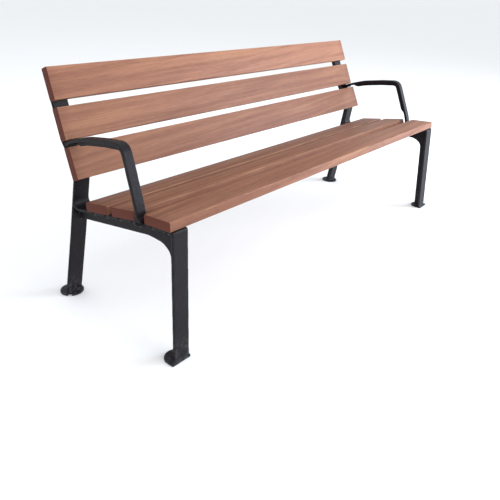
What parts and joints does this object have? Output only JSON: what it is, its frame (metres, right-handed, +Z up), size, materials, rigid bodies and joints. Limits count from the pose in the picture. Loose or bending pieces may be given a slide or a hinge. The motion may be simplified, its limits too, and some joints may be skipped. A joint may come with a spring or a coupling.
{
  "type": "garden bench",
  "caption": "Garden bench with wooden slats for seat and back on cast-iron T-section side frames with curved armrests.",
  "frame": {"origin": "on the ground plane, midway along the bench and midway between its front-most and rear-most points", "axes": "+X along the slats, towards the right of someone who faces the bench; -Y the way the sitter faces; +Z up. Left and right in the names are those of someone who faces the bench."},
  "size_m": [1.824, 0.667, 0.8045],
  "materials": {
    "wood": "satin oiled reddish-brown hardwood with fine straight grain",
    "cast_iron": "near-black semi-gloss paint over a slightly uneven cast surface",
    "fastener": "blackened steel hexagon heads, slightly dulled"
  },
  "bodies": {
    "root": {"side_frame_left": "cast_iron", "armrest_left": "cast_iron", "armrest_bolt_post_left": "fastener", "armrest_bolt_seat_left": "fastener", "side_frame_right": "cast_iron", "armrest_right": "cast_iron", "armrest_bolt_post_right": "fastener", "armrest_bolt_seat_right": "fastener", "seat_slat_front": "wood", "seat_screw_front_left_1": "fastener", "seat_screw_front_left_2": "fastener", "seat_screw_front_right_1": "fastener", "seat_screw_front_right_2": "fastener", "seat_slat_middle": "wood", "seat_screw_middle_left_1": "fastener", "seat_screw_middle_left_2": "fastener", "seat_screw_middle_right_1": "fastener", "seat_screw_middle_right_2": "fastener", "seat_slat_back": "wood", "seat_screw_back_left_1": "fastener", "seat_screw_back_left_2": "fastener", "seat_screw_back_right_1": "fastener", "seat_screw_back_right_2": "fastener", "back_slat_bottom": "wood", "back_screw_bottom_left_1": "fastener", "back_screw_bottom_left_2": "fastener", "back_screw_bottom_right_1": "fastener", "back_screw_bottom_right_2": "fastener", "back_slat_middle": "wood", "back_screw_middle_left_1": "fastener", "back_screw_middle_left_2": "fastener", "back_screw_middle_right_1": "fastener", "back_screw_middle_right_2": "fastener", "back_slat_top": "wood", "back_screw_top_left_1": "fastener", "back_screw_top_left_2": "fastener", "back_screw_top_right_1": "fastener", "back_screw_top_right_2": "fastener"}
  },
  "joints": []
}
